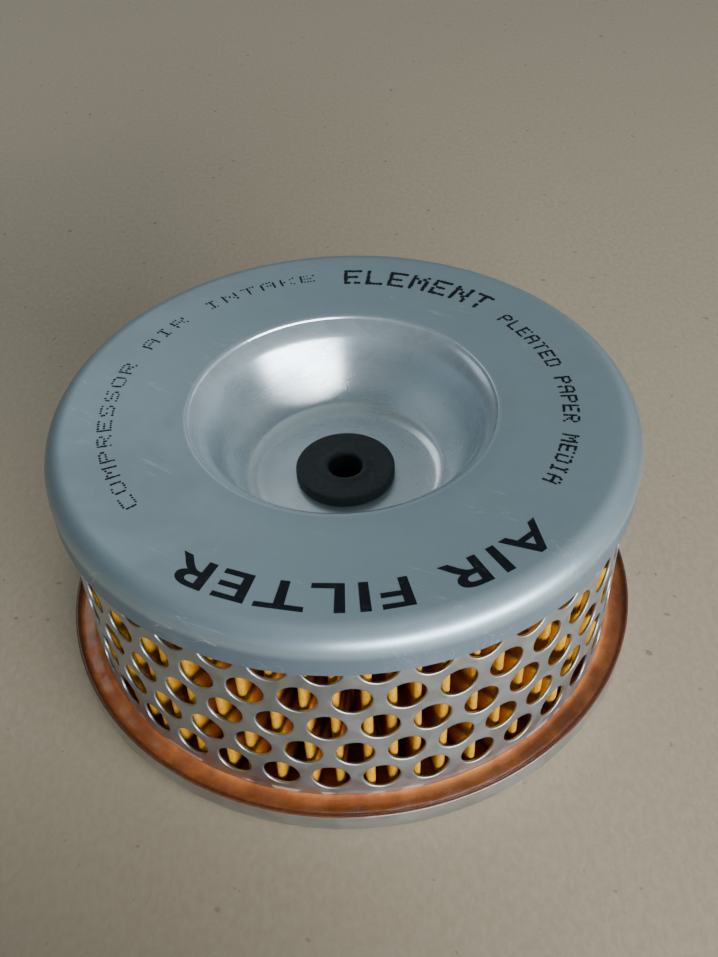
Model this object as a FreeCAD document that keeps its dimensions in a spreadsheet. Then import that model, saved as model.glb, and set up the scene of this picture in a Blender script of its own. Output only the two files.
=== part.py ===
"""Compressed air filter element: a pleated paper ring between two perforated tubes.

The paper and the tubes stand in a shallow bottom pan and are closed by a dished top cap.
A stud passes through the rubber bush in the dish and clamps the element on its housing.
Millimetres, +Z up. The origin is on the axis, in the plane that the bottom gasket rests on.
"""
import FreeCAD, Part
import math
import os

import Sketcher

os.makedirs("parts", exist_ok=True)
doc = FreeCAD.newDocument("AirFilter")

# ---------------------------------------------------------------- driving dimensions

DIMENSIONS = {
    "height": 64.0,  # gasket underside to the cap's flat ring
    "cap_radius": 70.0,
    "cap_skirt": 11.2,
    "cap_sheet": 0.8,
    "cap_corner": 5.5,  # outside radius of the rolled edge
    "dish_radius": 34.6,  # where the flat ring and the dish wall would meet unrounded
    "dish_depth": 22.0,
    "dish_slope": 65.0,  # degrees from horizontal
    "dish_rim_round": 6.0,
    "dish_bowl_round": 4.0,
    "cap_hole": 8.0,
    "stud_hole": 4.2,
    "bush_radius": 12.25,
    "bush_flange": 2.8,
    "bush_keeper_radius": 10.5,
    "bush_keeper": 1.8,
    "bush_chamfer": 0.5,
    "gap": 0.3,  # between curved faces of neighbouring pieces
    "liner_sheet": 0.7,
    "outer_liner_radius": 68.2,
    "inner_liner_radius": 45.8,
    "outer_liner_end": 3.4,  # liner end to the cap's flat ring, clear of its rolled edge
    "inner_liner_end": 1.8,
    "outer_liner_foot": 2.4,
    "inner_liner_foot": 4.9,
    "hole_radius": 4.2,
    "row_pitch": 9.6,
    "first_row": 12.5,  # first row of holes below the cap's flat ring
    "outer_holes": 38,  # holes in one row
    "inner_holes": 26,
    "punch_standoff": 1.0,  # the holes' sketches stand this far off the wall
    "punch_overrun": 1.0,
    "seam_width": 7.0,
    "seam_thick": 0.5,
    "seam_edge_drop": 0.1,  # how much lower the strip's edges are than its middle
    "seam_foot": 6.6,
    "seam_length": 50.0,
    "media_outer": 67.0,
    "media_inner": 46.6,
    "paper": 0.5,
    "pleats": 64,
    "fold_tip": 1.1,  # half the width of a fold's tip
    "fold_root": 0.5,  # half the width of a fold's root
    "seam_fold_drop": 1.6,  # the joined pleat is this much shorter
    "clip_sheet": 0.4,
    "clip_leg": 5.0,
    "clip_gap": 0.35,
    "clip_margin": 1.0,
    "pan_radius": 74.1,
    "lip_radius": 74.0,  # outside of the lip at its top
    "pan_foot": 0.6,
    "lip_top": 6.5,
    "pan_sheet": 0.8,
    "pan_corner": 1.4,
    "seat_level": 3.2,  # underside of the raised gasket seat
    "seat_edge": 63.0,
    "outlet_radius": 43.5,
    "outlet_lip_top": 7.0,
    "outlet_corner": 1.2,
    "gasket_inner": 50.0,
    "gasket_outer": 62.0,
    "gasket_chamfer": 0.4,
    "potting_level": 6.1,
    "top_potting_level": 57.5,
    "potting_inner": 43.6,
}

sheet = doc.addObject("Spreadsheet::Sheet", "Dims")
for row, (alias, number) in enumerate(DIMENSIONS.items(), start=1):
    sheet.set(f"A{row}", alias)
    sheet.set(f"B{row}", str(number))
    sheet.setAlias(f"B{row}", alias)
doc.recompute()


class Size:
    """A value in millimetres together with the spreadsheet formula that gives it."""

    def __init__(self, value, formula):
        self.value = value
        self.formula = formula

    def __add__(self, other):
        other = as_size(other)
        return Size(self.value + other.value, f"({self.formula} + {other.formula})")

    def __sub__(self, other):
        other = as_size(other)
        return Size(self.value - other.value, f"({self.formula} - {other.formula})")

    def __mul__(self, other):
        other = as_size(other)
        return Size(self.value * other.value, f"({self.formula} * {other.formula})")

    def __truediv__(self, other):
        other = as_size(other)
        return Size(self.value / other.value, f"({self.formula} / {other.formula})")

    def __neg__(self):
        return Size(-self.value, f"(0 - {self.formula})")


def as_size(number):
    """Accept a plain number where a Size is expected."""
    if isinstance(number, Size):
        return number
    return Size(float(number), str(number))


def cell(alias):
    """One driving dimension, read from the spreadsheet."""
    return Size(float(getattr(sheet, alias)), f"Dims.{alias}")


def degrees(function, name, angle):
    """A trigonometric function of an angle in degrees."""
    return Size(function(math.radians(angle.value)), f"{name}({angle.formula})")


def tangent(angle):
    return degrees(math.tan, "tan", angle)


# ---------------------------------------------------------------- modelling helpers

MATCH = 0.01  # millimetres; an edge this near the wanted place is the wanted edge


def origin_feature(body, role):
    """One of the body's own origin planes or axes."""
    for feature in body.Origin.OriginFeatures:
        if feature.Role == role:
            return feature
    raise ValueError(role)


def new_body(label):
    body = doc.addObject("PartDesign::Body", label)
    body.Label = label
    return body


def new_sketch(body, name, plane, offset=None):
    """A sketch on one of the body's origin planes, with an optional offset from it."""
    sketch = body.newObject("Sketcher::SketchObject", name)
    sketch.AttachmentSupport = [(origin_feature(body, plane), "")]
    sketch.MapMode = "FlatFace"
    if offset is not None:
        sketch.AttachmentOffset = offset
    return sketch


def pin_point(sketch, geometry, point, across, up):
    """Hold a point of the sketch at a place given by two sizes."""
    for kind, size in (("DistanceX", across), ("DistanceY", up)):
        index = sketch.addConstraint(
            Sketcher.Constraint(kind, -1, 1, geometry, point, size.value))
        sketch.setExpression(f"Constraints[{index}]", size.formula)


def closed_outline(sketch, corners):
    """A closed outline of straight lines through the corners."""
    points = [FreeCAD.Vector(across.value, up.value, 0) for across, up in corners]
    count = len(points)
    lines = []
    for index in range(count):
        segment = Part.LineSegment(points[index], points[(index + 1) % count])
        lines.append(sketch.addGeometry(segment, False))
    for index in range(count):
        following = lines[(index + 1) % count]
        sketch.addConstraint(Sketcher.Constraint("Coincident", lines[index], 2, following, 1))
    for line, (across, up) in zip(lines, corners):
        pin_point(sketch, line, 1, across, up)


def circle_at(sketch, across, up, radius):
    """A circle held by its centre and its radius."""
    centre = FreeCAD.Vector(across.value, up.value, 0)
    normal = FreeCAD.Vector(0, 0, 1)
    circle = sketch.addGeometry(Part.Circle(centre, normal, radius.value), False)
    pin_point(sketch, circle, 3, across, up)
    index = sketch.addConstraint(Sketcher.Constraint("Radius", circle, radius.value))
    sketch.setExpression(f"Constraints[{index}]", radius.formula)


def revolve(body, name, corners):
    """Turn an outline in the XZ plane once round the Z axis."""
    sketch = new_sketch(body, f"{name}_outline", "XZ_Plane")
    closed_outline(sketch, [(as_size(across), as_size(up)) for across, up in corners])
    turned = body.newObject("PartDesign::Revolution", name)
    turned.Profile = sketch
    turned.ReferenceAxis = (sketch, ["V_Axis"])
    turned.Angle = 360.0
    doc.recompute()


def circular_edges(feature, radius, level):
    """Names of the feature's circular edges of one radius at one level."""
    names = []
    for number, edge in enumerate(feature.Shape.Edges, start=1):
        curve = edge.Curve
        if not isinstance(curve, Part.Circle):
            continue
        same_radius = abs(curve.Radius - radius.value) < MATCH
        same_level = abs(curve.Center.z - level.value) < MATCH
        if same_radius and same_level:
            names.append(f"Edge{number}")
    if not names:
        raise ValueError(f"no edge of radius {radius.value} at {level.value}")
    return names


def ease_edges(body, kind, name, places, size):
    """Fillet or chamfer the circular edges at the given radii and levels."""
    base = body.Tip
    names = []
    for radius, level in places:
        names += circular_edges(base, as_size(radius), as_size(level))
    eased = body.newObject(f"PartDesign::{kind}", name)
    eased.Base = (base, names)
    prop = "Radius" if kind == "Fillet" else "Size"
    setattr(eased, prop, size.value)
    eased.setExpression(prop, size.formula)
    doc.recompute()
    return eased


def polar_pattern(body, name, feature, count, angle):
    """Repeat a feature round the Z axis."""
    pattern = body.newObject("PartDesign::PolarPattern", name)
    pattern.Originals = [feature]
    pattern.Axis = (origin_feature(body, "Z_Axis"), [""])
    pattern.Angle = angle.value
    pattern.setExpression("Angle", angle.formula)
    pattern.Occurrences = int(count.value)
    pattern.setExpression("Occurrences", count.formula)
    body.Tip = pattern
    doc.recompute()
    return pattern


# ---------------------------------------------------------------- shared sizes

SMALLEST_CUT = 1.0  # cubic millimetres; a punch that takes less has missed the wall
HEIGHT = cell("height")
GAP = cell("gap")
CAP_RADIUS = cell("cap_radius")
CAP_SHEET = cell("cap_sheet")
CAP_UNDERSIDE = HEIGHT - CAP_SHEET
CAP_INSIDE = CAP_RADIUS - CAP_SHEET
DISH_FLOOR = HEIGHT - cell("dish_depth")
SLOPE = cell("dish_slope")
LINER_SHEET = cell("liner_sheet")
OUTER_LINER = cell("outer_liner_radius")
INNER_LINER = cell("inner_liner_radius")
OUTER_LINER_TOP = HEIGHT - cell("outer_liner_end")
INNER_LINER_TOP = HEIGHT - cell("inner_liner_end")
PAN_FOOT = cell("pan_foot")
PAN_SHEET = cell("pan_sheet")
PAN_FLOOR = PAN_FOOT + PAN_SHEET
SEAT_LEVEL = cell("seat_level")
SEAT_TOP = SEAT_LEVEL + PAN_SHEET
POTTING_LEVEL = cell("potting_level")
TOP_POTTING_LEVEL = cell("top_potting_level")
LIP_RADIUS = cell("lip_radius")
LIP_TOP = cell("lip_top")
PAN_RADIUS = cell("pan_radius")
OUTLET = cell("outlet_radius")

# A bent sheet's second face is the first one moved by its thickness across the flat
# stretches and by this share of it outwards, so that the sloped stretch is as thick.
SLOPE_SHARE = tangent(SLOPE / 2)
STEP_RUN = (SEAT_LEVEL - PAN_FOOT) / tangent(SLOPE)


# ---------------------------------------------------------------- the pieces


def top_end_cap():
    """Pressed cap: flat ring, round-bottomed dish with a centre hole, outer skirt."""
    body = new_body("top_end_cap")
    rim = cell("dish_radius")
    floor_edge = rim - cell("dish_depth") / tangent(SLOPE)
    shift = CAP_SHEET * SLOPE_SHARE
    hole = cell("cap_hole")
    skirt_end = HEIGHT - cell("cap_skirt")
    floor_underside = DISH_FLOOR - CAP_SHEET
    revolve(body, "Pressing", [
        (hole, DISH_FLOOR),
        (floor_edge, DISH_FLOOR),
        (rim, HEIGHT),
        (CAP_RADIUS, HEIGHT),
        (CAP_RADIUS, skirt_end),
        (CAP_INSIDE, skirt_end),
        (CAP_INSIDE, CAP_UNDERSIDE),
        (rim + shift, CAP_UNDERSIDE),
        (floor_edge + shift, floor_underside),
        (hole, floor_underside),
    ])
    corner = cell("cap_corner")
    rim_round = cell("dish_rim_round")
    bowl = cell("dish_bowl_round")
    # Inner bends are rounded before outer ones, so that the sheet never breaks through.
    ease_edges(body, "Fillet", "CornerInside", [(CAP_INSIDE, CAP_UNDERSIDE)], corner - CAP_SHEET)
    ease_edges(body, "Fillet", "CornerOutside", [(CAP_RADIUS, HEIGHT)], corner)
    ease_edges(body, "Fillet", "RimBelow", [(rim + shift, CAP_UNDERSIDE)], rim_round - CAP_SHEET)
    ease_edges(body, "Fillet", "RimAbove", [(rim, HEIGHT)], rim_round)
    ease_edges(body, "Fillet", "BowlAbove", [(floor_edge, DISH_FLOOR)], bowl)
    ease_edges(body, "Fillet", "BowlBelow", [(floor_edge + shift, floor_underside)],
               bowl + CAP_SHEET)
    return body


def stud_grommet():
    """Rubber bush snapped into the cap's hole: wide flange above, keeper flange below."""
    body = new_body("stud_grommet")
    bore = cell("stud_hole")
    neck = cell("cap_hole") - GAP
    flange = cell("bush_radius")
    keeper = cell("bush_keeper_radius")
    thick = cell("bush_flange")
    keeper_foot = -(CAP_SHEET + cell("bush_keeper"))
    # Modelled about the dish floor and lifted to it by the placement.
    revolve(body, "Bush", [
        (bore, thick),
        (flange, thick),
        (flange, 0),
        (neck, 0),
        (neck, -CAP_SHEET),
        (keeper, -CAP_SHEET),
        (keeper, keeper_foot),
        (bore, keeper_foot),
    ])
    ease_edges(body, "Chamfer", "Edges", [(flange, thick), (keeper, keeper_foot)],
               cell("bush_chamfer"))
    body.Placement = FreeCAD.Placement(FreeCAD.Vector(0, 0, DISH_FLOOR.value), FreeCAD.Rotation())
    body.setExpression("Placement.Base.z", DISH_FLOOR.formula)
    return body


def perforate(body, name, radius, rows, count, turn):
    """Punch rows of round holes in a tube, turned about the axis by an angle in degrees."""
    standoff = radius + cell("punch_standoff")
    aside = standoff * degrees(math.sin, "sin", turn)
    ahead = standoff * degrees(math.cos, "cos", turn)
    offset = FreeCAD.Placement(
        FreeCAD.Vector(aside.value, 0, ahead.value),
        FreeCAD.Rotation(FreeCAD.Vector(0, 1, 0), turn.value))
    sketch = new_sketch(body, f"{name}_holes", "XZ_Plane", offset)
    sketch.setExpression("AttachmentOffset.Base.x", aside.formula)
    sketch.setExpression("AttachmentOffset.Base.z", ahead.formula)
    for row in rows:
        level = HEIGHT - cell("first_row") - cell("row_pitch") * row
        circle_at(sketch, as_size(0), level, cell("hole_radius"))
    doc.recompute()
    whole = body.Tip.Shape.Volume
    depth = LINER_SHEET + cell("punch_standoff") + cell("punch_overrun")
    punch = body.newObject("PartDesign::Pocket", name)
    punch.Profile = sketch
    punch.Type = "Length"
    punch.Length = depth.value
    punch.setExpression("Length", depth.formula)
    doc.recompute()
    if punch.Shape.Volume > whole - SMALLEST_CUT:
        raise ValueError(f"{name} cuts nothing")
    polar_pattern(body, f"{name}_round", punch, count, as_size(360))


def perforated_liner(label, radius, foot, top, count):
    """Tube rolled from perforated sheet, its rows of holes staggered by half a pitch."""
    body = new_body(label)
    inside = radius - LINER_SHEET
    revolve(body, "Tube", [
        (inside, foot),
        (radius, foot),
        (radius, top),
        (inside, top),
    ])
    perforate(body, "Aligned", radius, [1, 3], count, as_size(0))
    perforate(body, "Staggered", radius, [0, 2, 4], count, as_size(180) / count)
    return body


def outer_liner():
    """Outer perforated tube, with the overlapped strip of its spot-welded seam."""
    body = perforated_liner("outer_liner", OUTER_LINER, cell("outer_liner_foot"),
                            OUTER_LINER_TOP, cell("outer_holes"))
    half_width = cell("seam_width") / 2
    offset = FreeCAD.Placement(
        FreeCAD.Vector(0, 0, float(sheet.seam_foot)), FreeCAD.Rotation())
    sketch = new_sketch(body, "Seam_outline", "XY_Plane", offset)
    crown = OUTER_LINER + cell("seam_thick")
    edge = crown - cell("seam_edge_drop")
    # The strip's edges lean in so that its flat back stays inside the tube's wall.
    closed_outline(sketch, [
        (-half_width, OUTER_LINER - LINER_SHEET / 2),
        (half_width, OUTER_LINER - LINER_SHEET / 2),
        (half_width, edge),
        (as_size(0), crown),
        (-half_width, edge),
    ])
    strip = body.newObject("PartDesign::Pad", "Seam")
    strip.Profile = sketch
    strip.Length = float(sheet.seam_length)
    strip.setExpression("Length", "Dims.seam_length")
    doc.recompute()
    return body


def inner_liner():
    """Inner perforated tube, which keeps the paper from collapsing inwards."""
    return perforated_liner("inner_liner", INNER_LINER, cell("inner_liner_foot"),
                            INNER_LINER_TOP, cell("inner_holes"))


def fold_outline(tip):
    """Corners of one fold of the paper, pointing along +X, out to the given radius."""
    slant = tangent(as_size(180) / cell("pleats"))
    paper = cell("paper")
    root = cell("media_inner")
    valley = root + paper
    tip_half = cell("fold_tip")
    root_half = cell("fold_root")
    # From the fold's middle line out: the paper's two faces meet at the root's half pitch.
    inner_face = [
        (tip - paper, tip_half - paper),
        (root, root * slant - root_half - paper),
        (root, root * slant),
    ]
    outer_face = [
        (valley, valley * slant),
        (valley, valley * slant - root_half),
        (tip, tip_half),
    ]
    half = inner_face + outer_face
    return half + [(across, -up) for across, up in reversed(half)]


def pleated_media():
    """Filter paper folded into a ring of pleats; one pleat is shorter, where it is joined."""
    body = new_body("pleated_media")
    length = TOP_POTTING_LEVEL - POTTING_LEVEL
    pleats = cell("pleats")
    step = as_size(360) / pleats
    folds = [("Fold", cell("media_outer"), as_size(0)),
             ("JoinedFold", cell("media_outer") - cell("seam_fold_drop"), -step)]
    for name, tip, turn in folds:
        offset = FreeCAD.Placement(
            FreeCAD.Vector(), FreeCAD.Rotation(FreeCAD.Vector(0, 0, 1), turn.value))
        sketch = new_sketch(body, f"{name}_outline", "XY_Plane", offset)
        closed_outline(sketch, fold_outline(tip))
        fold = body.newObject("PartDesign::Pad", name)
        fold.Profile = sketch
        fold.Length = length.value
        fold.setExpression("Length", length.formula)
        doc.recompute()
        if name == "Fold":
            polar_pattern(body, "Folds", fold, pleats - 1, as_size(360) - step * 2)
    # The joined pleat stands at the back of the element.
    turn_to_back = FreeCAD.Rotation(FreeCAD.Vector(0, 0, 1), 90 + step.value)
    body.Placement = FreeCAD.Placement(FreeCAD.Vector(0, 0, POTTING_LEVEL.value), turn_to_back)
    return body


def media_seam_clip():
    """Thin metal channel pressed over the joined pleat."""
    body = new_body("media_seam_clip")
    metal = cell("clip_sheet")
    inner_half = cell("fold_tip") + cell("clip_gap")
    outer_half = inner_half + metal
    bottom = cell("media_outer") - cell("seam_fold_drop")
    mouth = bottom - cell("clip_leg")
    sketch = new_sketch(body, "Channel_outline", "XY_Plane")
    closed_outline(sketch, [
        (mouth, -outer_half),
        (bottom + metal, -outer_half),
        (bottom + metal, outer_half),
        (mouth, outer_half),
        (mouth, inner_half),
        (bottom, inner_half),
        (bottom, -inner_half),
        (mouth, -inner_half),
    ])
    margin = cell("clip_margin")
    length = TOP_POTTING_LEVEL - POTTING_LEVEL - margin * 2
    channel = body.newObject("PartDesign::Pad", "Channel")
    channel.Profile = sketch
    channel.Length = length.value
    channel.setExpression("Length", length.formula)
    doc.recompute()
    foot = POTTING_LEVEL + margin
    back = FreeCAD.Rotation(FreeCAD.Vector(0, 0, 1), 90)
    body.Placement = FreeCAD.Placement(FreeCAD.Vector(0, 0, foot.value), back)
    return body


def top_potting():
    """Adhesive in the top cap's channel, grooved where the liners stand in it."""
    body = new_body("top_potting")
    inner_groove = INNER_LINER - LINER_SHEET - GAP
    corner = cell("cap_corner")
    revolve(body, "Ring", [
        (cell("potting_inner"), TOP_POTTING_LEVEL),
        (inner_groove, TOP_POTTING_LEVEL),
        (inner_groove, INNER_LINER_TOP),
        (INNER_LINER + GAP, INNER_LINER_TOP),
        (INNER_LINER + GAP, TOP_POTTING_LEVEL),
        (OUTER_LINER - LINER_SHEET - GAP, TOP_POTTING_LEVEL),
        (OUTER_LINER - LINER_SHEET - GAP, OUTER_LINER_TOP),
        (OUTER_LINER, OUTER_LINER_TOP),
        (CAP_RADIUS - corner, CAP_UNDERSIDE),
        (cell("potting_inner"), CAP_UNDERSIDE),
    ])
    return body


def bottom_end_cap():
    """Pressed pan: turned-up outlet lip, raised gasket seat, flat foot, leaning outer lip."""
    body = new_body("bottom_end_cap")
    lean = (PAN_RADIUS - LIP_RADIUS) / (LIP_TOP - PAN_FOOT)
    seat_edge = cell("seat_edge")
    shift = PAN_SHEET * SLOPE_SHARE
    outlet_top = cell("outlet_lip_top")
    outlet_back = OUTLET + PAN_SHEET
    inner_corner = PAN_RADIUS - lean * PAN_SHEET - PAN_SHEET
    revolve(body, "Pressing", [
        (OUTLET, outlet_top),
        (OUTLET, SEAT_LEVEL),
        (seat_edge, SEAT_LEVEL),
        (seat_edge + STEP_RUN, PAN_FOOT),
        (PAN_RADIUS, PAN_FOOT),
        (LIP_RADIUS, LIP_TOP),
        (LIP_RADIUS - PAN_SHEET, LIP_TOP),
        (inner_corner, PAN_FLOOR),
        (seat_edge + STEP_RUN + shift, PAN_FLOOR),
        (seat_edge + shift, SEAT_TOP),
        (outlet_back, SEAT_TOP),
        (outlet_back, outlet_top),
    ])
    corner = cell("pan_corner")
    bend = cell("outlet_corner")
    ease_edges(body, "Fillet", "CornerInside", [(inner_corner, PAN_FLOOR)], corner - PAN_SHEET)
    ease_edges(body, "Fillet", "CornerOutside", [(PAN_RADIUS, PAN_FOOT)], corner)
    ease_edges(body, "Fillet", "OutletInside", [(outlet_back, SEAT_TOP)], bend - PAN_SHEET)
    ease_edges(body, "Fillet", "OutletOutside", [(OUTLET, SEAT_LEVEL)], bend)
    return body


def bottom_potting():
    """Adhesive standing in the pan, round the feet of both liners."""
    body = new_body("bottom_potting")
    shift = PAN_SHEET * SLOPE_SHARE + GAP
    seat_edge = cell("seat_edge")
    inside = OUTLET + PAN_SHEET + GAP * 2
    outer_foot = cell("outer_liner_foot")
    inner_foot = cell("inner_liner_foot")
    lip_inside = LIP_RADIUS - PAN_SHEET - GAP
    corner = cell("pan_corner")
    revolve(body, "Ring", [
        (inside, SEAT_TOP),
        (seat_edge + shift, SEAT_TOP),
        (seat_edge + STEP_RUN + shift, PAN_FLOOR),
        (lip_inside - corner, PAN_FLOOR),
        (lip_inside, PAN_FLOOR + corner),
        (lip_inside, POTTING_LEVEL),
        (OUTER_LINER + GAP, POTTING_LEVEL),
        (OUTER_LINER + GAP, outer_foot),
        (OUTER_LINER - LINER_SHEET - GAP, outer_foot),
        (OUTER_LINER - LINER_SHEET - GAP, POTTING_LEVEL),
        (INNER_LINER + GAP, POTTING_LEVEL),
        (INNER_LINER + GAP, inner_foot),
        (inside, inner_foot),
    ])
    return body


def bottom_gasket():
    """Flat rubber ring bonded in the pan's raised seat; the element rests on it."""
    body = new_body("bottom_gasket")
    sketch = new_sketch(body, "Ring_outline", "XY_Plane")
    inner = cell("gasket_inner")
    outer = cell("gasket_outer")
    for radius in (inner, outer):
        circle_at(sketch, as_size(0), as_size(0), radius)
    ring = body.newObject("PartDesign::Pad", "Ring")
    ring.Profile = sketch
    ring.Length = SEAT_LEVEL.value
    ring.setExpression("Length", SEAT_LEVEL.formula)
    doc.recompute()
    ease_edges(body, "Chamfer", "Edges", [(inner, 0), (outer, 0)], cell("gasket_chamfer"))
    return body


# ---------------------------------------------------------------- build, check, write

PIECES = [
    top_end_cap,
    stud_grommet,
    outer_liner,
    inner_liner,
    pleated_media,
    media_seam_clip,
    top_potting,
    bottom_end_cap,
    bottom_potting,
    bottom_gasket,
]

bodies = [make() for make in PIECES]
doc.recompute()

for thing in doc.Objects:
    for fault in ("Invalid", "Error"):
        if fault in thing.State:
            raise RuntimeError(f"{thing.Label}: {thing.State}")

for body in bodies:
    shape = body.Shape
    if shape.isNull() or not shape.isValid() or len(shape.Solids) != 1:
        raise RuntimeError(f"{body.Label}: bad shape with {len(shape.Solids)} solids")

for body in bodies:
    body.Shape.exportStep(f"parts/{body.Label}.step")
    box = body.Shape.BoundBox
    print(f"{body.Label}: {box.XLength:.2f} x {box.YLength:.2f} x {box.ZLength:.2f} mm, "
          f"z {box.ZMin:.2f} to {box.ZMax:.2f}, {body.Shape.Volume / 1000:.2f} cm3")
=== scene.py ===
# %% [markdown]
# # A round air filter element
# This lesson dresses a small intake filter for a compressor: a pleated paper ring between
# two perforated steel tubes, glued between a dished cap and a shallow pan.
# Almost every piece is a body of revolution, so most of them are one outline turned round
# the axis. The frame comes first: it gives the overall sizes that the pieces must fit.

# %% Load the frame
import math
import random

import bmesh
import bpy
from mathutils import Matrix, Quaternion, Vector


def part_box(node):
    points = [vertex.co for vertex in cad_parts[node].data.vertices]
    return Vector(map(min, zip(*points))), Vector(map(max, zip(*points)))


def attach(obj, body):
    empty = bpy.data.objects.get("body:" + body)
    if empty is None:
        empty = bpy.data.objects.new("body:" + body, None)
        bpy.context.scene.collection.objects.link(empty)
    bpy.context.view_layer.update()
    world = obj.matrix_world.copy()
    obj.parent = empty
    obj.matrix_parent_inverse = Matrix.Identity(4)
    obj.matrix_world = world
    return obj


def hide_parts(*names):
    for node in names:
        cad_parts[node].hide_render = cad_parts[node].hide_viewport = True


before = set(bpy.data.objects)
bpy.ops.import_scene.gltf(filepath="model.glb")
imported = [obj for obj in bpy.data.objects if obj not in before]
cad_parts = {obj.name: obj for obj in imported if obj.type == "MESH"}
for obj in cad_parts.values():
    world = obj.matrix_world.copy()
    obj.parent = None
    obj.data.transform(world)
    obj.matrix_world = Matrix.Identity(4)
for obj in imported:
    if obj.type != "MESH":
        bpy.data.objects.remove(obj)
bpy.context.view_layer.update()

MM = 0.001
print("frame nodes:", sorted(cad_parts))

# %% [markdown]
# ## Sizes
# A turned piece needs a radius and two levels. The frame's meshes are faceted, so the
# radius is the smallest reach of the node's box: the finished piece then stays inside it.

# %% Read sizes from the frame
def reach(node):
    """Radius of a round node, in metres."""
    low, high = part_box(node)
    return min(high.x, high.y, -low.x, -low.y)


def levels(node):
    """Lowest and highest level of a node, in metres."""
    low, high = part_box(node)
    return low.z, high.z


CAP_RADIUS = reach("top_end_cap")
CAP_TOP = levels("top_end_cap")[1] - 0.05 * MM
LINER_RADIUS = 68.2 * MM
LINER_SHEET = 0.7 * MM
SHEET = 0.8 * MM
PAN_RADIUS = reach("bottom_end_cap")
print("cap radius", round(CAP_RADIUS, 5), "pan radius", round(PAN_RADIUS, 5), "top", CAP_TOP)

# %% [markdown]
# ## The camera
# The camera stands close in front of the element and looks down at about 40 degrees, with
# a slight tilt to one side. A look-at direction turned about its own axis says exactly that.

# %% Place the camera
def add_object(name, data):
    made = bpy.data.objects.new(name, data)
    bpy.context.scene.collection.objects.link(made)
    return made


def add_camera():
    data = bpy.data.cameras.new("camera")
    data.lens = 39.5
    data.clip_start = 0.01
    camera = add_object("camera", data)
    camera.location = (0.0, -0.1925, 0.2195)
    aim = Vector((0.0028, -0.0260, 0.0640))
    look = (aim - camera.location).to_track_quat("-Z", "Y")
    camera.rotation_mode = "QUATERNION"
    camera.rotation_quaternion = look @ Quaternion((0, 0, 1), math.radians(-2.38))
    bpy.context.scene.camera = camera


add_camera()

# %% [markdown]
# ## Node helpers
# Materials here are made of many small nodes. A few helpers that place a node, fill its
# sockets and return its output keep each material short enough to read.

# %% Write the node helpers
def add_node(tree, kind, **settings):
    made = tree.nodes.new(kind)
    for name, value in settings.items():
        setattr(made, name, value)
    return made


def feed(tree, socket, value):
    """Put a constant in a socket, or wire another node's output to it."""
    if isinstance(value, bpy.types.NodeSocket):
        tree.links.new(value, socket)
    elif isinstance(value, (tuple, list)) and len(value) == 3 and socket.type == "RGBA":
        socket.default_value = (*value, 1.0)
    else:
        socket.default_value = value


def fill(tree, made, **values):
    """Feed a node's inputs by name; underscores stand for spaces."""
    for label, value in values.items():
        feed(tree, made.inputs[label.replace("_", " ")], value)
    return made.outputs


def maths(tree, operation, first, second=0.0):
    made = add_node(tree, "ShaderNodeMath", operation=operation)
    feed(tree, made.inputs[0], first)
    feed(tree, made.inputs[1], second)
    return made.outputs[0]


def times(tree, first, second):
    return maths(tree, "MULTIPLY", first, second)


def plus(tree, first, second):
    return maths(tree, "ADD", first, second)


def blend_colours(tree, share, first, second):
    made = add_node(tree, "ShaderNodeMix", data_type="RGBA")
    feed(tree, made.inputs["Factor"], share)
    feed(tree, made.inputs[6], first)
    feed(tree, made.inputs[7], second)
    return made.outputs[2]


def tint(tree, mask, share, under, over):
    """Lay a share of one colour over another where a mask says so."""
    return blend_colours(tree, times(tree, mask, share), under, over)


def spread(tree, value, low, high, to_low=0.0, to_high=1.0):
    """Map one range of a value to another with a smooth step."""
    made = add_node(tree, "ShaderNodeMapRange", interpolation_type="SMOOTHSTEP")
    return fill(tree, made, Value=value, From_Min=low, From_Max=high, To_Min=to_low,
                To_Max=to_high)["Result"]


def noise(tree, vector, scale, detail=2.0, rough=0.5, warp=0.0):
    made = add_node(tree, "ShaderNodeTexNoise")
    return fill(tree, made, Vector=vector, Scale=scale, Detail=detail, Roughness=rough,
                Distortion=warp)["Fac"]


def stretch(tree, vector, scale):
    """The same place with its three directions scaled apart."""
    made = add_node(tree, "ShaderNodeMapping")
    feed(tree, made.inputs["Vector"], vector)
    made.inputs["Scale"].default_value = scale
    return made.outputs["Vector"]


def new_group(name, inputs, outputs):
    """A shader node group with named sockets; returns the tree and its two end nodes."""
    tree = bpy.data.node_groups.new(name, "ShaderNodeTree")
    for label, kind, default in inputs:
        socket = tree.interface.new_socket(label, in_out="INPUT", socket_type=kind)
        if default is not None:
            socket.default_value = default
    for label, kind in outputs:
        tree.interface.new_socket(label, in_out="OUTPUT", socket_type=kind)
    return tree, tree.nodes.new("NodeGroupInput"), tree.nodes.new("NodeGroupOutput")


def use_group(tree, group, **values):
    """Place a group in a material and fill its inputs."""
    return fill(tree, add_node(tree, "ShaderNodeGroup", node_tree=group), **values)


VECTOR = "NodeSocketVector"
FLOAT = "NodeSocketFloat"

# %% [markdown]
# ## Light
# Zinc-coated steel shows what stands round it more than its own colour. One long soft
# window low on the right draws the bright patch in the dish and the lines on its rim and
# on the rolled edge. A pale wall behind on the left brightens the flat ring on that side
# and the dish's right flank. The room itself is plain, lighter on the window's side, and
# lights the flat ring and the floor.

# %% Add the lights
def area_light(name, place, aim, size, size_y, power, colour):
    data = bpy.data.lights.new(name, "AREA")
    data.shape = "RECTANGLE"
    data.size = size
    data.size_y = size_y
    data.energy = power
    data.color = colour
    lamp = add_object(name, data)
    lamp.location = place
    lamp.rotation_euler = (Vector(aim) - Vector(place)).to_track_quat("-Z", "Y").to_euler()


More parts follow.
